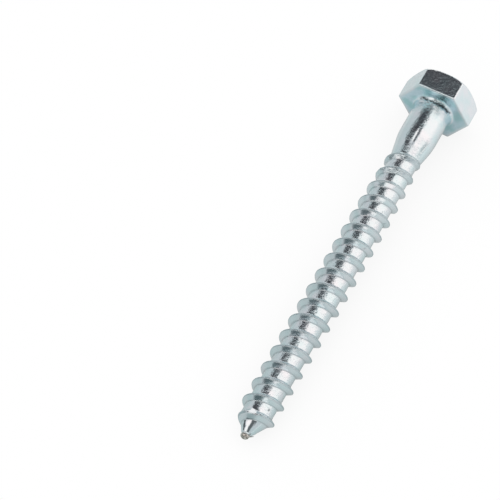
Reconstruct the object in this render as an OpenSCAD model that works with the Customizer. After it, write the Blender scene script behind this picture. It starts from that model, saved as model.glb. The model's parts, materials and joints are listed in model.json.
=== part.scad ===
// Hexagon-head wood screw (coach screw) with a coarse rolled thread and a blunt cone point.
// It lies at rest: one flat of the head is down, and the last full turn of the thread
// touches the same floor. The screw's axis runs along +X towards the point, dipping by the
// small angle of that pose, and the origin is the centre of the bearing face under the head.

/* [Head] */
// Width across the flats
head_af = 13; // [11:0.1:15]
// Height of the head
head_h = 5; // [4.5:0.1:8]
// How far the flat crown stops short of the flats
crown_inset = 1; // [0.8:0.1:2]
// Radius of the rounded edge between the crown and the flats
crown_r = 2.4; // [2.4:0.1:4]

/* [Shank] */
// Diameter of the plain shank
shank_d = 7.5; // [7:0.1:9]
// Length of the plain shank, from the bearing face to the start of the taper
shank_len = 8.2; // [5:0.1:30]
// Fillet between the bearing face and the shank
neck_r = 0.7; // [0.2:0.1:1.2]
// Length of the taper from the shank down to the thread's blank
taper_len = 4; // [2:0.1:8]

/* [Thread] */
// Length from the bearing face to the end of the point
screw_len = 77.7; // [50:0.1:100]
// Diameter over the crests at the middle of the thread
thread_d = 7.55; // [7:0.05:9]
// Diameter of the core between the turns
core_d = 5.45; // [5:0.05:5.8]
// Diameter of the blank that the thread is rolled on, seen where the thread begins
blank_d = 6; // [5.9:0.1:6.8]
// Distance from one turn to the next
pitch = 3.54; // [3:0.01:5]
// Width of the crest
crest_w = 0.3; // [0.1:0.05:0.6]
// Width along the axis of the flank that faces the head
head_flank_w = 0.85; // [0.3:0.05:1.2]
// Width along the axis of the flank that faces the point
point_flank_w = 0.7; // [0.4:0.05:1.2]
// How far the crests fall off from the middle of the thread to its ends
crest_relief = 0.2; // [0:0.05:0.4]
// Length over which the ridge rises to its full height, fast at first
run_in_len = 15.5; // [6:0.5:25]
// Turn of the thread about the axis
thread_clock = 78; // [0:1:360]

/* [Point] */
// Length of the cone point
cone_len = 4.1; // [3.5:0.1:8]
// Diameter of the blunt nib at the end of the cone
nib_d = 1.6; // [0.6:0.1:2]
// Length of the rounded nib
nib_len = 0.7; // [0.2:0.1:1]
// Length over which the ridge runs out on the cone
run_out_len = 2.2; // [1:0.1:4]
// Length of bare cone between the end of the ridge and the nib
bare_len = 0.8; // [0.5:0.1:2]

/* [Hidden] */
$fn = 96;

zinc = "#aab6be";

shank_r = shank_d / 2;
core_r = core_d / 2;
blank_r = blank_d / 2;
nib_r = nib_d / 2;

// Columns round one turn of the thread, and arc steps of the neck fillet
turn_steps = 36;
neck_steps = 6;
// How far a piece reaches into its neighbour so that the two become one body
bury = 0.25;

// Along the axis: where the nib begins, where the ridge ends on the cone,
// and where it starts inside the taper
nib_start = screw_len - nib_len;
ridge_end = nib_start - bare_len;
ridge_start = shank_len + taper_len / 2;

// Rows of the strip that winds round the axis: offset along the axis, and share of the
// ridge's height. Each flank has a point low down, because a rolled ridge has a hollow foot.
foot_reach = 0.4;
foot_height = 0.16;
ridge_w = head_flank_w + crest_w + point_flank_w;
rows = [
    [0, 0],
    [head_flank_w * foot_reach, foot_height],
    [head_flank_w, 1],
    [head_flank_w + crest_w, 1],
    [ridge_w - point_flank_w * foot_reach, foot_height],
    [ridge_w, 0]
];
row_count = len(rows);

// The strip starts inside the shank, follows the pitch up to the end of the ridge, and
// then spirals in: one turn over the bare cone and one over the nib
strip_start = shank_len - pitch;
ridge_turns = (ridge_end - strip_start) / pitch;
nose_turns = 2;
columns = ceil((ridge_turns + nose_turns) * turn_steps);
last_turn = columns / turn_steps + ridge_w / pitch;
// How far the rounding of the nib goes before a small flat closes it
nib_sweep = 85;
// The lower this power, the faster the ridge rises at first
run_in_power = 0.35;

function clamp(v) = max(0, min(1, v));

function run_in(z) = pow(clamp((z - ridge_start) / run_in_len), run_in_power);

// The rolling presses the blank down to the core in the first half of the run-in
function pressed(z) = clamp(2 * (z - ridge_start) / run_in_len);

function run_out(z) = clamp((ridge_end - z) / run_out_len);

// Crest radius: fullest at the middle of the thread, a little less at both ends
function crest_r(z) =
    let (along = 2 * clamp((z - ridge_start) / (ridge_end - ridge_start)) - 1)
    thread_d / 2 - crest_relief * along * along;

function cone_r(z) = nib_r + (core_r - nib_r) * clamp((nib_start - z) / (cone_len - nib_len));

// Radius between the turns: the blank, then the core, then the cone
function root_r(z) = min(blank_r - pressed(z) * (blank_r - core_r), cone_r(z));

function ridge_h(z) = run_in(z) * run_out(z) * (crest_r(z) - core_r);

function wound_point(z, share) = [z, root_r(z) + share * ridge_h(z)];

function nib_point(angle) = [nib_start + nib_len * sin(angle), nib_r * cos(angle)];

// Place along the axis, and radius, of the strip after so many turns
function strip_point(turns, share) =
    let (nose = 2 * (turns - ridge_turns) / (last_turn - ridge_turns))
    nose <= 0 ? wound_point(strip_start + pitch * turns, share)
    : nose <= 1 ? wound_point(ridge_end + bare_len * nose, share)
    : nib_point(nib_sweep * (nose - 1));

strip = [
    for (column = [0:columns])
        for (row = rows)
            let (
                angle = thread_clock + 360 * column / turn_steps,
                place = strip_point(column / turn_steps + row[0] / pitch, row[1])
            )
            [place[1] * cos(angle), place[1] * sin(angle), place[0]]
];

// Tilt at which the screw rests on the lower edge of its head and on the thread
rest_tilt = min([for (p = strip) atan2(head_af / 2 - p[0], p[2])]);

// Hexagon with a flat crown and a rounded edge that cuts the corners back in arcs
module head() {
    crown_flat_r = head_af / 2 - crown_inset;
    intersection() {
        translate([0, 0, -head_h])
            rotate([0, 0, 30])
                cylinder(d = head_af / cos(30), h = head_h, $fn = 6);
        translate([0, 0, -head_h])
            rotate_extrude() {
                square([crown_flat_r, head_h]);
                translate([0, crown_r])
                    square([crown_flat_r + crown_r, head_h]);
                intersection() {
                    translate([crown_flat_r, crown_r])
                        circle(r = crown_r);
                    square([crown_flat_r + crown_r, crown_r]);
                }
            }
    }
}

// Plain shank with its neck fillet, tapering down into the start of the thread
module shank() {
    taper_slope = (shank_r - blank_r) / taper_len;
    taper_end = shank_len + taper_len + bury / taper_slope;
    neck = [
        for (step = [0:neck_steps])
            let (angle = 90 * step / neck_steps)
            [shank_r + neck_r * (1 - sin(angle)), neck_r * (1 - cos(angle))]
    ];
    rotate_extrude()
        polygon(concat(
            [[0, -head_h / 2], [shank_r + neck_r, -head_h / 2]],
            neck,
            [[shank_r, shank_len], [blank_r - bury, taper_end], [0, taper_end]]
        ));
}

// Core, ridge and point as one closed strip wound round the axis
module thread() {
    start_hub = len(strip);
    end_hub = start_hub + 1;
    function at(column, row) =
        row < row_count ? column * row_count + row : (column + turn_steps) * row_count;
    start_loop = concat(
        [for (column = [0:turn_steps]) at(column, 0)],
        [for (row = [row_count - 1:-1:0]) at(0, row)]
    );
    end_loop = concat(
        [for (row = [0:row_count - 1]) at(columns, row)],
        [for (column = [columns - 1:-1:columns - turn_steps]) at(column, row_count - 1)],
        [at(columns, 0)]
    );
    faces = [
        for (column = [0:columns - 1])
            for (row = [0:row_count - 1])
                if (row < row_count - 1 || column + turn_steps < columns)
                    each [
                        [at(column, row), at(column, row + 1), at(column + 1, row + 1)],
                        [at(column, row), at(column + 1, row + 1), at(column + 1, row)]
                    ],
        for (k = [0:len(start_loop) - 2])
            [start_hub, start_loop[k], start_loop[k + 1]],
        for (k = [0:len(end_loop) - 2])
            [end_hub, end_loop[k], end_loop[k + 1]]
    ];
    polyhedron(
        points = concat(strip, [[0, 0, strip_start + pitch / 2], [0, 0, screw_len]]),
        faces = faces
    );
}

module coach_screw() {
    color(zinc)
        rotate([0, 90 + rest_tilt, 0]) {
            head();
            shank();
            thread();
        }
}

coach_screw();
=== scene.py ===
import json
import math

import bpy
import numpy as np
from mathutils import Matrix, Vector, noise


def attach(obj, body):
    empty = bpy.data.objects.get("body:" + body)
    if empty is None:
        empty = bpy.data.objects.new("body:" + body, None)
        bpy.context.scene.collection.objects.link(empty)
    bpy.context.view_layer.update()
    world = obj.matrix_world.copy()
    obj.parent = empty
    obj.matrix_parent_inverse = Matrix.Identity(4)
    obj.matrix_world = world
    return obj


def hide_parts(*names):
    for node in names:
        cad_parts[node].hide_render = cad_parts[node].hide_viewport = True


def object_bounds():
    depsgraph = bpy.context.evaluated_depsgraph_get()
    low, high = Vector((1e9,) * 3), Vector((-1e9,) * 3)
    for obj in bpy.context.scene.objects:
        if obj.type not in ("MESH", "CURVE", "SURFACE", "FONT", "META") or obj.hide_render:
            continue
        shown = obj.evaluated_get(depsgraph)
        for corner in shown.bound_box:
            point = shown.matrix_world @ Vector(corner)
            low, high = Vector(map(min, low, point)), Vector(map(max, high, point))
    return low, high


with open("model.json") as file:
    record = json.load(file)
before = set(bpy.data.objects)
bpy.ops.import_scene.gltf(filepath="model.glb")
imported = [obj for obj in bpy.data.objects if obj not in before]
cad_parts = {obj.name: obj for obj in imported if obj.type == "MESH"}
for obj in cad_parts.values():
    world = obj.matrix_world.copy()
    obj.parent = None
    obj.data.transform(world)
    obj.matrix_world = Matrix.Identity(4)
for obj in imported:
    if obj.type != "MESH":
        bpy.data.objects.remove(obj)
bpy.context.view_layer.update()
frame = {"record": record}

# Head
# A hexagon for a spanner, cold-forged on the end of the steel wire. The dies leave flat sides, a
# crown whose rounded rim cuts the corners back in arcs, and edges that are rounded a little.
# The screw is one piece, so its surface is one skin: rings of points from the crown to the tip.

head_af = 13.0
head_h = 5.0
rim_w = 1.0
crown_flat_r = head_af / 2 - rim_w
crown_r = 2.4
edge_r = 0.25

# The axis runs from the middle of the bearing face to the tip, and lengths are in mm
mounts = {mount["name"]: mount for mount in frame["record"]["mounts"]}
axis = np.array(mounts["bearing_face"]["axis"])
side = np.array([0.0, 1.0, 0.0])
down = np.cross(side, axis)
start = 1000 * np.array(mounts["bearing_face"]["pos_m"])

# Columns stand at angles from straight down; every flat of the head has the same number of them
COLUMNS = 144
FLATS = 6
PER_FLAT = COLUMNS // FLATS
even_angles = 2 * math.pi * np.arange(COLUMNS) / COLUMNS

# They crowd together at the six corners, so that each corner is round and each side is flat
crowding = 0.78
across = ((np.arange(COLUMNS) % PER_FLAT) - PER_FLAT / 2) / (PER_FLAT / 2)
corner_angles = even_angles + math.pi / FLATS * crowding * (across**3 - across)

# A smooth hexagon: the higher the power, the tighter the corners
corner_power = 110
flat_angles = [2 * math.pi / FLATS * k for k in range(FLATS)]
facing = np.stack([np.cos(corner_angles - angle) for angle in flat_angles])
hexagon = head_af / 2 / np.sum(np.maximum(facing, 0) ** corner_power, axis=0) ** (1 / corner_power)

# What the making and the handling did at each point of the skin, from 0 to 1. The feet of the
# ridge only mark where shade is painted, and the crack gets painted shade besides its groove.
WEARS = ("root", "foot", "crest", "ragged", "crack", "nib", "scuff", "film", "smooth")
skin_points = []
skin_wear = []
rings = []


def add_points(angles, radius, along, wear):
    """Adds points to the skin, placed round the screw's axis, with their wear by the names in
    WEARS, and gives the number of the first."""
    first = sum(len(group) for group in skin_points)
    angles, radius, along = np.broadcast_arrays(np.atleast_1d(angles), radius, along)
    outward = np.outer(np.cos(angles), down) + np.outer(np.sin(angles), side)
    skin_points.append(start + np.outer(along, axis) + radius[:, None] * outward)
    amounts = [np.broadcast_to(wear.get(name, 0.0), len(angles)) for name in WEARS]
    skin_wear.append(np.stack(amounts, axis=1))
    return first


def add_ring(angles, radius, along, **wear):
    """One ring of the skin, with a point for each column."""
    full = np.ones(COLUMNS)
    rings.append(add_points(angles * full, radius * full, along * full, wear))


def rim_at(turn):
    """Radius of the crown's rim and its place along the axis, where the arc has turned so far."""
    return crown_flat_r + crown_r * np.sin(turn), -head_h + crown_r * (1 - np.cos(turn))


def round_off(first, corner, last, t):
    """A point on the short curve that rounds off a corner."""
    return (1 - t) ** 2 * first + 2 * t * (1 - t) * corner + t**2 * last


# The crown, and the arc of its rim, which stops a few hundredths of a radian before the sides
RIM_STEPS = 7
rim_short = 0.08
rim_end = np.arcsin((hexagon - crown_flat_r) / crown_r)
rim_stop = rim_end - rim_short
crown_pole = add_points(0.0, 0.0, -head_h, {})
for reach in (0.12, 0.3, 0.5, 0.68, 0.83, 0.95):
    add_ring(corner_angles, crown_flat_r * reach, -head_h)
for step in range(RIM_STEPS + 1):
    add_ring(corner_angles, *rim_at(rim_stop * step / RIM_STEPS))

# The rounded upper edge, the flat sides, and the rounded lower edge
rim_r, rim_from = rim_at(rim_stop)
rim_to = rim_at(rim_end)[1]
for t in (0.3, 0.6, 0.85):
    add_ring(
        corner_angles,
        round_off(rim_r, hexagon, hexagon, t),
        round_off(rim_from, rim_to, rim_to + edge_r, t),
    )
for share in (0.0, 0.12, 0.26, 0.42, 0.58, 0.74, 0.88, 1.0):
    add_ring(corner_angles, hexagon, (rim_to + edge_r) * (1 - share) - edge_r * share)
for t in (0.2, 0.4, 0.6, 0.8):
    add_ring(
        corner_angles,
        round_off(hexagon, hexagon, hexagon - edge_r, t),
        round_off(-edge_r, 0.0, 0.0, t),
    )

# Neck and shank
# The bearing face runs in to the shank through a small fillet, with a rough collar and a crack on
# top where the forging tool closed. The shank is the plain steel wire itself, and a short taper
# leads down to where the thread is rolled.

shank_r = mounts["shank"]["dims"]["r_mm"]
shank_len = 8.2
neck_r = 0.7
taper_len = 4.0
blank_r = 3.0
taper_slope = (shank_r - blank_r) / taper_len


def rise(value, begins, over):
    """0 up to where it begins, then evenly up to 1 over a length."""
    return np.clip((value - begins) / over, 0, 1)


def fade(value, ends, over):
    """1 at first, then evenly down to 0 over a length up to where it ends."""
    return np.clip((ends - value) / over, 0, 1)


def hump(value, middle, width):
    """1 in the middle, falling off smoothly to both sides over about a width."""
    return np.exp(-(((value - middle) / width) ** 2))


# The tool leaves the shank a little flared under the head, and its collar goes round the upper
# part only. Angles from the top are in radians.
flare = 0.13
flare_len = 1.4
fillet_end = 1.39
flare_from = neck_r * (1 - math.cos(fillet_end))
from_top = math.pi - even_angles
collar_h = 0.2
collar_runs = rise(from_top, -1.1, 0.35) * fade(from_top, 1.15, 0.35)
collar = collar_h * collar_runs
neck_start = shank_r + neck_r + flare + collar
face_gap = 0.1
for share in (0.0, 0.12, 0.27, 0.43, 0.6, 0.76, 0.9):
    add_ring(
        corner_angles + (even_angles - corner_angles) * share,
        hexagon - edge_r + (neck_start + face_gap - hexagon + edge_r) * share,
        0.0,
        film=min(1.0, 3 * share),
    )

# The fillet goes in steps: a bend out of the bearing face, a straight land on the collar, and a
# bend into the shank. The land is steeper on one side.
LAND_FROM = 6
LAND_TO = 10
FILLET_STEPS = 16
land_least = 0.06
land_more = 0.34
land = land_least + land_more * collar_runs
land_turn = np.radians(55 - 17 * rise(from_top, 0.02, 0.3))
bend_r = neck_r + (collar - land * np.cos(land_turn)) / math.sin(fillet_end)

# The crack is placed and sized in those steps. It starts on the land, crosses down to the lower
# bend near the top, wavers, and is widest a little way on.
crack_runs = rise(from_top, -0.75, 0.1) * fade(from_top, 1.1, 0.1)
crack_at = 10.5 + 3.0 * np.tanh((from_top + 0.42) / 0.1)
crack_at += 0.9 * np.sin(23 * from_top) + 0.6 * np.sin(41 * from_top)
crack_w = 3.0 + 2.6 * hump(from_top, 0.35, 0.3)
for step in range(FILLET_STEPS + 1):
    into_shank = rise(step, LAND_TO, FILLET_STEPS - LAND_TO)
    turn = land_turn * rise(step, 0, LAND_FROM) + (fillet_end - land_turn) * into_shank
    passed = land * rise(step, LAND_FROM, LAND_TO - LAND_FROM)
    bead = hump(step, (LAND_FROM + LAND_TO) / 2, 3)
    add_ring(
        even_angles,
        neck_start - bend_r * np.sin(turn) - passed * np.cos(land_turn),
        bend_r * (1 - np.cos(turn)) + passed * np.sin(land_turn),
        ragged=(0.1 + 0.5 * crack_runs) * bead,
        crack=crack_runs * hump(step, crack_at, crack_w),
        film=np.cos(turn) * (1 - bead),
    )


def taper_radius(along):
    """Radius of the plain shank and of the taper after it, with the bend between them eased."""
    ease = 0.9
    past = along - shank_len
    flared = flare * (1 - rise(along, flare_from, flare_len)) ** 2
    return shank_r + flared - taper_slope * 0.5 * (past + np.sqrt(past**2 + ease**2))


# The rolling dies scuff the shank more and more towards the thread
SHANK_RINGS = 40
shank_from = flare_from + 0.5
thread_from = 10.1
for along in np.linspace(shank_from, thread_from, SHANK_RINGS):
    add_ring(even_angles, taper_radius(along), along, scuff=rise(along, 3.0, 3.0))

# Thread
# A coarse right-hand wood thread, rolled between flat dies that press the core down and squeeze
# the steel up into a ridge. It rises out of the taper, is fullest at mid-length and runs out on
# the cone.

screw_len = 77.7
thread_r = 3.775
core_r = 2.725
pitch = 3.54
crest_w = 0.3
head_flank_w = 0.85
point_flank_w = 0.7
crest_relief = 0.2
run_in_len = 15.5
run_in_power = 0.35
run_out_len = 2.2
thread_clock = 78.0
cone_len = 4.1
nib_r = 0.8
nib_len = 0.7
bare_len = 0.8
nib_start = screw_len - nib_len
ridge_end = nib_start - bare_len
ridge_start = shank_len + taper_len / 2
winding_start = shank_len - pitch - pitch * thread_clock / 360
ridge_w = head_flank_w + crest_w + point_flank_w

# Rows of the winding: offset as a share of the width, and share of the ridge's height. The flank
# that faces the head has a hollow foot, the one that faces the point is nearly straight, and the
# crest has a fine seam where the metal from the two sides met.
head_flank = (
    (0.0, 0.0),
    (0.14, 0.02),
    (0.28, 0.075),
    (0.42, 0.18),
    (0.6, 0.44),
    (0.78, 0.7),
    (0.93, 0.92),
)
crest = (
    (0.06, 0.975),
    (0.25, 1.0),
    (0.4, 0.955),
    (0.55, 0.955),
    (0.7, 1.0),
    (0.85, 0.975),
)
point_flank = (
    (0.03, 0.0),
    (0.13, 0.075),
    (0.33, 0.268),
    (0.5, 0.43),
    (0.73, 0.649),
    (0.9, 0.81),
    (1.0, 0.905),
)
ROOT_ROWS = 9
rows = [(head_flank_w * t, share) for t, share in head_flank]
rows += [(head_flank_w + crest_w * t, share) for t, share in crest]
rows += [(ridge_w - point_flank_w * t, share) for t, share in reversed(point_flank)]
rows += [(ridge_w + (pitch - ridge_w) * k / ROOT_ROWS, 0.0) for k in range(ROOT_ROWS)]
ROWS = len(rows)


def root_radius(along):
    """Radius between the turns: the wire, then the core, then the cone."""
    pressed = rise(along, ridge_start, run_in_len / 2)
    cone = nib_r + (core_r - nib_r) * fade(along, nib_start, cone_len - nib_len)
    return np.minimum(blank_r - pressed * (blank_r - core_r), cone)


def ridge_height(along):
    """Height of the ridge above the core, from the run-in to the run-out."""
    run_in = rise(along, ridge_start, run_in_len) ** run_in_power
    run_out = fade(along, ridge_end, run_out_len)
    middle = 2 * rise(along, ridge_start, ridge_end - ridge_start) - 1
    return run_in * run_out * (thread_r - crest_relief * middle**2 - core_r)


def thread_radius(along, share):
    """The taper or the thread, whichever stands higher, with the crease between them eased."""
    wound = root_radius(along) + share * ridge_height(along)
    plain = taper_radius(along)
    ease = 0.08 * rise(along, thread_from, 1.5)
    return 0.5 * (wound + plain + np.sqrt((wound - plain) ** 2 + ease**2))


turns = np.arange(-1, 24)
row_along = (winding_start + pitch * turns[:, None] + np.array([row[0] for row in rows])).ravel()
row_offset = np.tile([row[0] for row in rows], len(turns))
row_share = np.tile([row[1] for row in rows], len(turns))
foot_w = 0.08
row_foot = hump(row_offset, ridge_w - foot_w, foot_w)
row_past_crest = (row_offset > head_flank_w + crest_w) & (row_offset < ridge_w)

# Places along the screw where the making left its marks: the first turns are torn until torn_to,
# and on top the last turn is smeared into a ramp
ring_gap = 0.05
rolled_len = 3.0
torn_to = 15.5
torn_fade = 6.0
# Painted shade in the feet of the ridge begins at foot_from and grows over foot_fade
foot_from = 12.0
foot_fade = 5.0
LAST_TURN = 19
smear_from = 72.4
smear_turn = -0.1
smear_w = 0.33
ramp_from = 72.87
ramp_slope = 0.42
cone_smooth_from = 73.8

# Each column carries the rows that lie between the first and the last ring of the thread. The share
# of the height tells where a point is, from 0 in the root to 1 on the crest.
lowest = []
highest = []
wound = []
for column in range(COLUMNS):
    along = row_along + pitch * column / COLUMNS
    held = np.nonzero((along > thread_from + ring_gap) & (along < ridge_end - ring_gap))[0]
    lowest.append(held[0])
    highest.append(held[-1])
    along = along[held]
    share = row_share[held]
    rolled = rise(along, ridge_start, rolled_len)
    risen = rise(root_radius(along) + ridge_height(along), taper_radius(along), 0.2)
    torn = risen * (1 - rise(along, torn_to, torn_fade)) * rise(share, 0.0, 0.3)
    flank_smooth = rise(share, 0.0, 0.35) * (share < 0.95) * (1 - torn)
    wear = {
        "root": (1 - share) ** 2 * rolled,
        "crest": rise(share, 0.91, 0.04) * risen,
        # The feet of the ridge, where shade is painted into the crease
        "foot": row_foot[held] * risen * rise(along, foot_from, foot_fade),
        "scuff": 1 - rolled,
        "ragged": 1.1 * torn,
        "smooth": np.maximum(flank_smooth, rise(along, cone_smooth_from, 0.5)),
    }

    # On top, the last turn is a ramp on the side of the head, and is dull on the side of the point
    smear_runs = math.exp(-(((from_top[column] - smear_turn) / smear_w) ** 4))
    smeared = smear_runs * rise(along, smear_from, 0.3)
    wear["crest"] = np.where(row_past_crest[held], smeared, wear["crest"] * (1 - smeared))
    wear["crest"] = np.maximum(wear["crest"], 0.6 * torn)
    radius = thread_radius(along, share)
    last_crest = winding_start + pitch * (LAST_TURN + column / COLUMNS) + head_flank_w + crest_w
    ramp = np.maximum(core_r + ramp_slope * (along - ramp_from), root_radius(along))
    ramped = np.where(along < last_crest, ramp, np.minimum(ramp, radius))
    radius = radius + (ramped - radius) * smeared
    wound.append(add_points(even_angles[column], radius, along, wear))

# Point
# A blunt cone that starts the screw in a drilled hole, pinched off from the wire by the thread
# dies. The pinch leaves a small rough nib of bare steel, with a waist behind it and a burr on one
# side.

rings_before_thread = rings
rings = []
waist = 0.09
waist_w = 0.2
waist_at = nib_start - 0.05
burr_len = 1.1
burr_w = 0.1
burr_at = nib_start + 0.06
burr_angle = math.radians(112)
burr_arc = 0.22
burr_lean = 0.35
nib_power = 0.75
CONE_RINGS = 9
cone_from = ridge_end + 0.15
add_ring(even_angles, root_radius(ridge_end), ridge_end, smooth=1.0)
for along in np.linspace(cone_from, nib_start, CONE_RINGS):
    slack = waist * hump(along, waist_at, waist_w)
    pinched = rise(along, nib_start - 0.2, 0.3)
    add_ring(even_angles, root_radius(along) - slack, along, nib=pinched, smooth=1.0 - pinched)
from_burr = (even_angles - burr_angle + math.pi) % (2 * math.pi) - math.pi
for turn in np.radians((8, 16, 24, 32, 40, 50, 60, 70, 79, 86)):
    along = nib_start + nib_len * math.sin(turn)
    burr = burr_len * hump(from_burr, 0.0, burr_arc) * hump(along, burr_at, burr_w)
    radius = nib_r * math.cos(turn) ** nib_power + burr
    add_ring(even_angles, radius, along - burr_lean * burr, nib=1.0)
tip_pole = add_points(0.0, 0.0, screw_len, {"nib": 0.5})

# Skin
# Head, shank, thread and point are one closed mesh. Forging, rolling and plating leave a small
# unevenness that a turned bar lacks, so its points move in or out by hundredths of a millimetre.

faces = []
for k in range(COLUMNS):
    after = (k + 1) % COLUMNS
    faces.append((crown_pole, rings_before_thread[0] + after, rings_before_thread[0] + k))
    faces.append((rings[-1] + k, rings[-1] + after, tip_pole))
    for run in (rings_before_thread, rings):
        for here, there in zip(run[:-1], run[1:]):
            faces.append((here + k, here + after, there + after, there + k))

    # The next column's rows lie further along; after the last column they are one turn further on
    low = lowest[k]
    high = highest[k]
    shift = ROWS if after == 0 else 0
    next_low = lowest[after] - shift
    next_high = highest[after] - shift
    here = wound[k] - low
    there = wound[after] - next_low
    ring = rings_before_thread[-1]
    opening = [there + row for row in range(next_low, low + 1)]
    faces.append([ring + k, ring + after] + opening + [here + low])
    for row in range(low, next_high):
        faces.append((here + row, there + row, there + row + 1, here + row + 1))
    ring = rings[0]
    closing = [here + row for row in range(high, next_high, -1)]
    faces.append([here + next_high, there + next_high, ring + after, ring + k] + closing)

spots = np.concatenate(skin_points)
amounts = np.concatenate(skin_wear).T
root, footed, crested, ragged, cracked, nibbed, scuffed, filmed, smoothed = amounts

mesh = bpy.data.meshes.new("coach_screw_plated")
mesh.from_pydata((spots / 1000).tolist(), [], [tuple(face) for face in faces])
mesh.update()
normals = np.zeros(3 * len(spots))
mesh.vertex_normals.foreach_get("vector", normals)

skin_along = (spots - start) @ axis
skin_turn = np.degrees(np.arctan2(spots @ side, -(spots - start) @ down))
skin_radius = np.hypot(spots @ side, (spots - start) @ down)


def lumps(size, stretch):
    """Smooth noise from -1 to 1 at every point of the skin: the lumps' size in mm, and how many
    times longer they are along the screw."""
    shape = spots / size
    shape[:, 0] /= stretch
    return np.array([noise.noise(Vector(spot)) for spot in shape])


def dent(along, turn, length, width):
    """How deep in a dent every point of the skin lies, from 0 to 1: the dent's place along the
    screw, its degrees from the top towards +Y, and its length and width."""
    aside = np.radians(skin_turn - turn) * skin_radius
    return np.exp(-(((skin_along - along) / length) ** 2) - (aside / width) ** 2)


# The last root was pressed smooth on top
pressed = dent(72.9, -9, 1.1, 1.2)
smoothed = np.maximum(smoothed, pressed)
root = root * (1 - 0.8 * pressed)

# How far the points move in mm: a faint swell all over, and more by what happened at each point
moved = 0.004 * lumps(2.5, 1.0)
moved += root * (0.02 * lumps(0.6, 1.0) + 0.012 * lumps(0.3, 1.0))
moved += crested * (0.025 * lumps(1.6, 1.0) + 0.014 * lumps(0.45, 1.0))
moved += ragged * (0.03 + 0.06 * lumps(0.5, 1.0) + 0.05 * lumps(0.25, 1.0))
cracked = cracked * np.clip(1.0 + 1.5 * lumps(0.4, 1.0), 0, 1)
moved -= 0.15 * cracked
moved += nibbed * 0.06 * lumps(0.6, 1.0)
moved += scuffed * (0.016 * lumps(0.6, 2.0) + 0.008 * lumps(0.3, 1.5))

# Knocks from the plating barrel: place along the screw, degrees from the top towards +Y, then the
# length, width and depth of the dent, and how much shade is painted into it. The feet of the ridge
# get a little painted shade, and the crack of the neck gets full painted shade.
foot_painted_shade = 0.28
painted_shade = np.maximum(foot_painted_shade * footed, cracked)
for knock_along, knock_turn, knock_len, knock_w, depth, painted_shade_level in (
    (8.9, 4, 1.5, 0.22, 0.13, 0.0),
    (10.2, 48, 1.3, 0.3, 0.1, 0.3),
    (9.4, -14, 0.7, 0.4, 0.03, 0.0),
    (25.4, 5, 0.15, 0.15, 0.06, 0.4),
    (26.3, 40, 0.12, 0.12, 0.06, 0.5),
    (27.8, 73, 0.15, 0.15, 0.06, 0.5),
    (35.0, 45, 0.12, 0.14, 0.06, 0.5),
    (71.7, 43, 0.2, 0.2, 0.12, 0.85),
):
    knock = dent(knock_along, knock_turn, knock_len, knock_w)
    moved -= depth * knock
    painted_shade = np.maximum(painted_shade, painted_shade_level * knock)
spots = spots + moved[:, None] * normals.reshape(-1, 3)
mesh.vertices.foreach_set("co", (spots / 1000).ravel())
mesh.polygons.foreach_set("use_smooth", [True] * len(mesh.polygons))
grained = (0.8 + 0.3 * root) * (1 - 0.85 * smoothed)
for name, amount in (("grain", grained), ("crest", crested), ("film", filmed), ("painted_shade", painted_shade)):
    mesh.attributes.new(name, "FLOAT", "POINT").data.foreach_set("value", amount)
mesh.update()

screw = bpy.data.objects.new("coach_screw_plated", mesh)
bpy.context.scene.collection.objects.link(screw)
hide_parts("coach_screw")
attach(screw, "root")

# Bright zinc plating: steel plated with zinc in a bath and passivated blue. It gives the eye a
# clear, cold-tinted mirror broken by a fine speckle, with faint colours that drift between teal
# and lilac.


def linear(hex_value):
    """An sRGB colour as a hex string, turned to the linear colour that the shaders take."""
    parts = [int(hex_value[k : k + 2], 16) / 255 for k in (1, 3, 5)]
    return [c / 12.92 if c <= 0.04045 else ((c + 0.055) / 1.055) ** 2.4 for c in parts] + [1.0]


def add_node(tree, kind, settings, sockets):
    """Adds a node, sets its options, and fills its sockets with values or with links."""
    node = tree.nodes.new("ShaderNode" + kind)
    for name, value in settings.items():
        setattr(node, name, value)
    for name, value in sockets.items():
        if isinstance(value, bpy.types.NodeSocket):
            tree.links.new(value, node.inputs[name])
        else:
            node.inputs[name].default_value = value
    return node


zinc = bpy.data.materials.new("bright_zinc_plating")
zinc.use_nodes = True
tree = zinc.node_tree
tree.nodes.clear()
place = add_node(tree, "TexCoord", {}, {})
in_mm = add_node(
    tree,
    "VectorMath",
    {"operation": "SCALE"},
    {"Vector": place.outputs["Object"], "Scale": 1000.0},
)
mm = in_mm.outputs["Vector"]

# The passivated film drifts in colour over 2.4 mm. On the bearing face and the fillet below it the
# colour is a deeper teal and blue, in patches about 2.2 mm across.
film_mm = 2.4
film = add_node(tree, "TexNoise", {}, {"Vector": mm, "Scale": 1 / film_mm, "Detail": 2.0})
tint = add_node(tree, "ValToRGB", {}, {"Fac": film.outputs[0]})
tint.color_ramp.elements[0].position = 0.34
tint.color_ramp.elements[0].color = linear("#dcebee")
tint.color_ramp.elements[1].position = 0.66
tint.color_ramp.elements[1].color = linear("#e9ecf0")
stain_mm = 2.2
stain = add_node(tree, "TexNoise", {}, {"Vector": mm, "Scale": 1 / stain_mm, "Detail": 0.0})
deep = add_node(tree, "ValToRGB", {}, {"Fac": stain.outputs[0]})
deep.color_ramp.elements[0].position = 0.36
deep.color_ramp.elements[0].color = linear("#b2d9de")
deep.color_ramp.elements[1].position = 0.62
deep.color_ramp.elements[1].color = linear("#cde5ef")
deeper_tint_mask = add_node(tree, "Attribute", {"attribute_name": "film"}, {})
filmed_colour = add_node(
    tree,
    "Mix",
    {"data_type": "RGBA"},
    {0: deeper_tint_mask.outputs["Fac"], 6: tint.outputs["Color"], 7: deep.outputs["Color"]},
)

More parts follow.
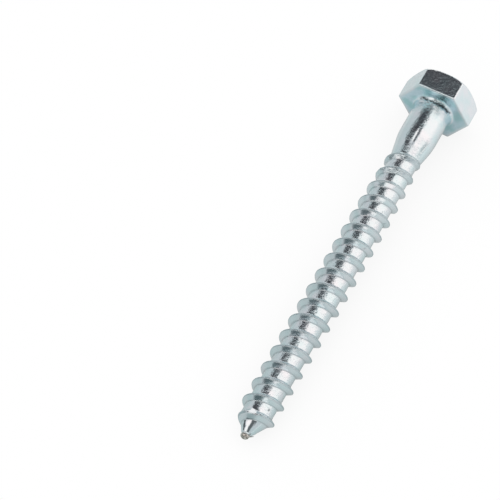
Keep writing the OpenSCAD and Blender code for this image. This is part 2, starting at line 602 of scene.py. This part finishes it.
# Crests and torn turns are rubbed a little darker. Shade is painted, as a dark colour, into the
# feet of the ridge, the crack of the neck and the dents.
crest_mark = add_node(tree, "Attribute", {"attribute_name": "crest"}, {})
crest_colour = add_node(
    tree,
    "Mix",
    {"data_type": "RGBA"},
    {0: crest_mark.outputs["Fac"], 6: filmed_colour.outputs[2], 7: linear("#c3d0d4")},
)
painted_shade_mark = add_node(tree, "Attribute", {"attribute_name": "painted_shade"}, {})
plated = add_node(
    tree,
    "Mix",
    {"data_type": "RGBA"},
    {0: painted_shade_mark.outputs["Fac"], 6: crest_colour.outputs[2], 7: linear("#33393d")},
)

# The nib is bare steel, browned in patches of half a millimetre where it was pinched off
end = add_node(tree, "SeparateXYZ", {}, {"Vector": mm})
bare = add_node(
    tree,
    "MapRange",
    {"interpolation_type": "SMOOTHSTEP"},
    {"Value": end.outputs["X"], "From Min": nib_start - 0.3, "From Max": nib_start + 0.1},
)
rust_mm = 0.5
rust = add_node(tree, "TexNoise", {}, {"Vector": mm, "Scale": 1 / rust_mm, "Detail": 2.0})
brown = add_node(tree, "ValToRGB", {}, {"Fac": rust.outputs[0]})
brown.color_ramp.elements[0].position = 0.42
brown.color_ramp.elements[0].color = linear("#8f8880")
brown.color_ramp.elements[1].position = 0.6
brown.color_ramp.elements[1].color = linear("#d8d4cd")
colour = add_node(
    tree,
    "Mix",
    {"data_type": "RGBA"},
    {0: bare.outputs["Result"], 6: plated.outputs[2], 7: brown.outputs["Color"]},
)

# Crests and the nib are dull
rubbed = add_node(
    tree,
    "Math",
    {"operation": "MAXIMUM"},
    {0: crest_mark.outputs["Fac"], 1: bare.outputs["Result"]},
)
dulled = add_node(
    tree,
    "MapRange",
    {},
    {"Value": rubbed.outputs["Value"], "To Min": 0.14, "To Max": 0.27},
)

# The plating's crystals are finer than the picture shows, so their grain is drawn at 0.26 mm, and
# longer across the screw, as the tools moved. It lies over swells of 0.7 mm. Both are strongest in
# the rolled roots and faint on the flanks and the cone. Their depths are in metres.
grain_mm = 0.26
grain_across_mm = 0.42
grain_depth = 0.00007
swell_mm = 0.7
swell_depth = 0.00002
coarse = add_node(tree, "Attribute", {"attribute_name": "grain"}, {})
crystals = add_node(
    tree,
    "VectorMath",
    {"operation": "MULTIPLY"},
    {0: mm, 1: (1 / grain_mm, 1 / grain_across_mm, 1 / grain_mm)},
)
grain = add_node(
    tree,
    "TexNoise",
    {},
    {"Vector": crystals.outputs["Vector"], "Scale": 1.0, "Detail": 2.0, "Roughness": 0.6},
)
swell = add_node(tree, "TexNoise", {}, {"Vector": mm, "Scale": 1 / swell_mm, "Detail": 0.0})
swell_bump = add_node(
    tree,
    "Bump",
    {},
    {"Height": swell.outputs[0], "Strength": coarse.outputs["Fac"], "Distance": swell_depth},
)
grain_bump = add_node(
    tree,
    "Bump",
    {},
    {
        "Height": grain.outputs[0],
        "Strength": coarse.outputs["Fac"],
        "Distance": grain_depth,
        "Normal": swell_bump.outputs["Normal"],
    },
)
steel = add_node(
    tree,
    "BsdfPrincipled",
    {},
    {
        "Base Color": colour.outputs[2],
        "Metallic": 1.0,
        "Roughness": dulled.outputs["Result"],
        "Normal": grain_bump.outputs["Normal"],
    },
)
add_node(tree, "OutputMaterial", {}, {"Surface": steel.outputs["BSDF"]})
mesh.materials.append(zinc)

# Floor
# A plain table of white card, which the camera sees as white. It darkens where the screw closes
# over it, and the metal mirrors it with the light on it falling off towards the left, away from
# the softbox on the right.

floor_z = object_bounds()[0].z
half = 2.0
corners = [(-half, -half), (half, -half), (half, half), (-half, half)]
floor_mesh = bpy.data.meshes.new("table")
floor_mesh.from_pydata([(x, y, floor_z) for x, y in corners], [], [(0, 1, 2, 3)])
floor = bpy.data.objects.new("table", floor_mesh)
bpy.context.scene.collection.objects.link(floor)

card = bpy.data.materials.new("white_card")
card.use_nodes = True
tree = card.node_tree
tree.nodes.clear()
ray = add_node(tree, "LightPath", {}, {})

# The shadow that the screw closes off, faint to the camera and deeper in the metal
shade = add_node(tree, "AmbientOcclusion", {"samples": 8}, {"Distance": 0.02})
seen = add_node(
    tree,
    "MapRange",
    {},
    {"Value": shade.outputs["AO"], "From Max": 0.95, "To Min": 0.86, "To Max": 1.0},
)
closed = add_node(
    tree,
    "MapRange",
    {},
    {"Value": shade.outputs["AO"], "From Max": 0.95, "To Min": 0.35, "To Max": 1.0},
)
level = add_node(
    tree,
    "Mix",
    {"data_type": "FLOAT"},
    {0: ray.outputs["Is Camera Ray"], 2: closed.outputs["Result"], 3: seen.outputs["Result"]},
)

# The light on the card falls off over 0.11 m, away from the softbox
floor_spot = add_node(tree, "NewGeometry", {}, {})
towards_box = add_node(
    tree,
    "VectorMath",
    {"operation": "DOT_PRODUCT"},
    {0: floor_spot.outputs["Position"], 1: (-0.5, 0.87, 0.0)},
)
lit = add_node(
    tree,
    "MapRange",
    {},
    {"Value": towards_box.outputs["Value"], "From Min": -0.06, "From Max": 0.05},
)
mirrored = add_node(
    tree,
    "Mix",
    {"data_type": "RGBA"},
    {0: lit.outputs["Result"], 6: linear("#bfcaca"), 7: linear("#f9f9f9")},
)
look = add_node(
    tree,
    "Mix",
    {"data_type": "RGBA"},
    {0: ray.outputs["Is Camera Ray"], 6: mirrored.outputs[2], 7: linear("#ffffff")},
)
white = add_node(tree, "Emission", {}, {"Color": look.outputs[2], "Strength": level.outputs[0]})
paper = add_node(tree, "BsdfDiffuse", {}, {"Color": linear("#f4f4f4")})
shown = add_node(
    tree,
    "Math",
    {"operation": "MAXIMUM"},
    {0: ray.outputs["Is Camera Ray"], 1: ray.outputs["Is Glossy Ray"]},
)
either = add_node(
    tree,
    "Math",
    {"operation": "MAXIMUM"},
    {0: shown.outputs["Value"], 1: ray.outputs["Is Transmission Ray"]},
)
surface = add_node(
    tree,
    "MixShader",
    {},
    {0: either.outputs["Value"], 1: paper.outputs["BSDF"], 2: white.outputs["Emission"]},
)
add_node(tree, "OutputMaterial", {}, {"Surface": surface.outputs["Shader"]})
floor_mesh.materials.append(card)

# Light
# A pale room with two large softboxes, one on the right and one in front on the left, each with a
# smaller one above it, and low lamps behind and in front. Between them it is dark: behind, beside
# the camera, and low on the left. The camera itself sees white.

world = bpy.data.worlds.new("studio")
bpy.context.scene.world = world
world.use_nodes = True
tree = world.node_tree
tree.nodes.clear()
sky = add_node(tree, "TexCoord", {}, {})


def aim(azimuth, elevation):
    """The direction towards a point of the room, in degrees round from +X and up from the floor."""
    a = math.radians(azimuth)
    e = math.radians(elevation)
    return (math.cos(e) * math.cos(a), math.cos(e) * math.sin(a), math.sin(e))


# Parts of the room, later ones over earlier ones: where each is, how many degrees from its middle
# it begins to fade and ends, and its light
softbox = [1.18, 1.1, 1.07, 1.0]
low_lamp = [1.1, 1.05, 1.03, 1.0]
room = linear("#d0d3d5")
for towards, inner, outer, radiance in (
    (aim(241, 52), 11, 19, [0.08, 0.083, 0.09, 1.0]),
    (aim(208, 51), 17, 25, [0.062, 0.063, 0.07, 1.0]),
    (aim(20, 48), 8, 27, [0.13, 0.14, 0.145, 1.0]),
    (aim(22, 31), 7, 15, [0.1, 0.11, 0.115, 1.0]),
    (aim(349, 7), 10, 23, [0.115, 0.145, 0.155, 1.0]),
    (aim(293, 10), 9, 15, [0.05, 0.06, 0.065, 1.0]),
    (aim(133, 32), 29, 35, softbox),
    (aim(128, 62), 12, 20, softbox),
    (aim(204, 16), 10, 18, low_lamp),
    (aim(22, 12), 11, 16, low_lamp),
    (aim(5, 22), 7, 11, low_lamp),
    (aim(326, 41), 16, 22, softbox),
    (aim(345, 72), 9, 16, softbox),
):
    nearness = add_node(
        tree,
        "VectorMath",
        {"operation": "DOT_PRODUCT"},
        {0: sky.outputs["Generated"], 1: towards},
    )
    within = add_node(
        tree,
        "MapRange",
        {"interpolation_type": "SMOOTHSTEP"},
        {
            "Value": nearness.outputs["Value"],
            "From Min": math.cos(math.radians(outer)),
            "From Max": math.cos(math.radians(inner)),
        },
    )
    mix = add_node(
        tree,
        "Mix",
        {"data_type": "RGBA"},
        {0: within.outputs["Result"], 6: room, 7: radiance},
    )
    room = mix.outputs[2]
ray = add_node(tree, "LightPath", {}, {})
backdrop = add_node(
    tree,
    "Mix",
    {"data_type": "RGBA"},
    {0: ray.outputs["Is Camera Ray"], 6: room, 7: linear("#ffffff")},
)
light = add_node(tree, "Background", {}, {"Color": backdrop.outputs[2], "Strength": 1.0})
add_node(tree, "OutputWorld", {}, {"Surface": light.outputs["Background"]})

# Camera
# A long lens above the point of the screw, looking down along it towards the head. Its place and
# its direction come from a fit to the screw's outline.

lens = bpy.data.cameras.new("camera")
lens.sensor_fit = "HORIZONTAL"
lens.sensor_width = 36.0
lens.lens = 123.293
lens.clip_start = 0.01
camera = bpy.data.objects.new("camera", lens)
bpy.context.scene.collection.objects.link(camera)
stand = Vector((0.192318, 0.057855, 0.267150))
right = Vector((-0.470945, 0.882030, 0.015322))
above = Vector((-0.746794, -0.407863, 0.525307))
looking = Matrix((right, above, right.cross(above))).transposed().to_4x4()
camera.matrix_world = Matrix.Translation(stand) @ looking
bpy.context.scene.camera = camera
bpy.context.scene.view_settings.view_transform = "Standard"
